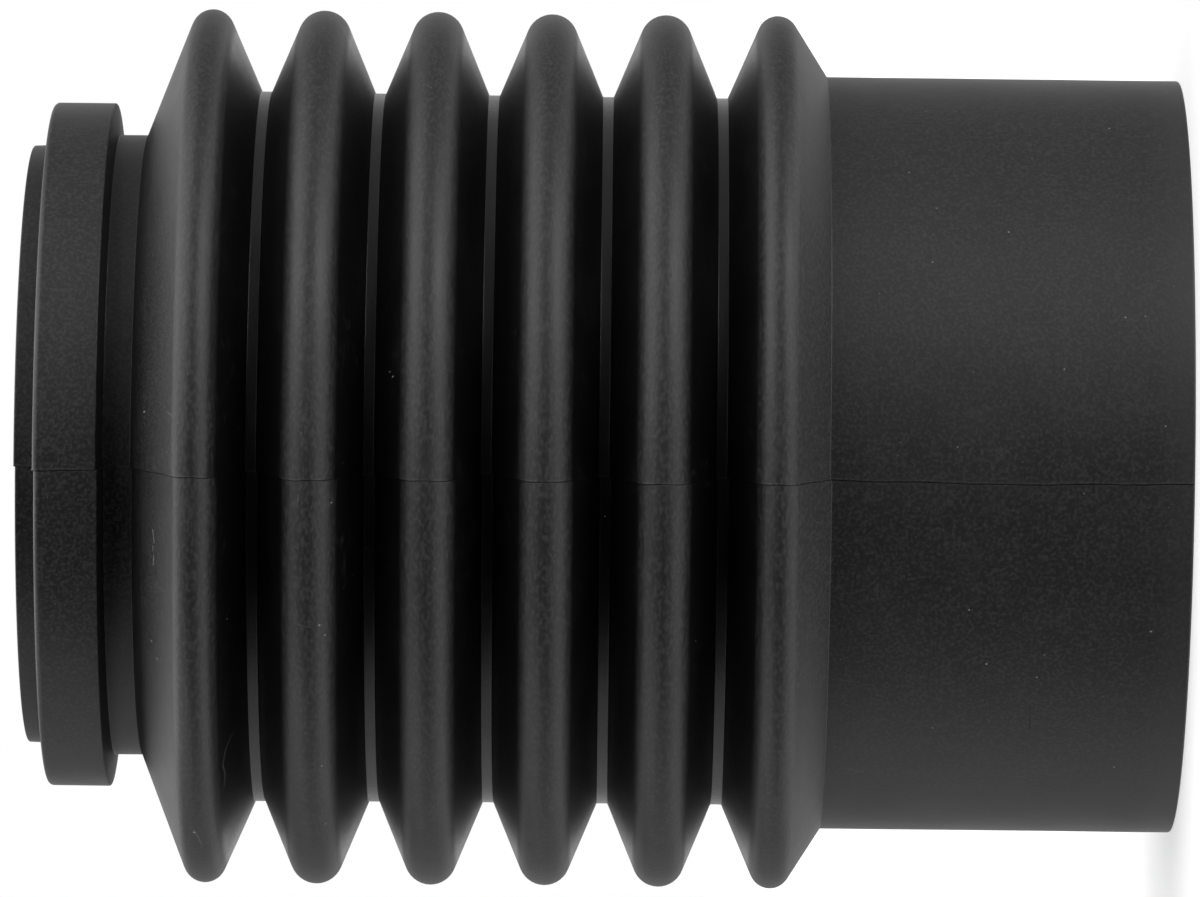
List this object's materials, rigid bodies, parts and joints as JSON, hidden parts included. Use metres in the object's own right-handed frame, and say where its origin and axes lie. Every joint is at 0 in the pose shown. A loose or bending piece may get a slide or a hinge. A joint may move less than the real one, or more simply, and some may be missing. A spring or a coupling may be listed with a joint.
{
  "type": "rubber bellows boot",
  "caption": "Round black rubber bellows boot: a plain open sleeve, a run of round-crested folds, and a grooved neck with a thick collar and a thin end lip.",
  "frame": {"origin": "centre of the sleeve's open end, on the plane that the boot stands on", "axes": "+Z along the boot's own axis, from the sleeve's open end to the lip; the mould's parting plane passes near the Y axis"},
  "size_m": [0.0812, 0.0812, 0.1063],
  "materials": {
    "moulded_rubber": "satin black, as moulded"
  },
  "bodies": {
    "root": {"bellows_boot": "moulded_rubber"}
  },
  "joints": []
}
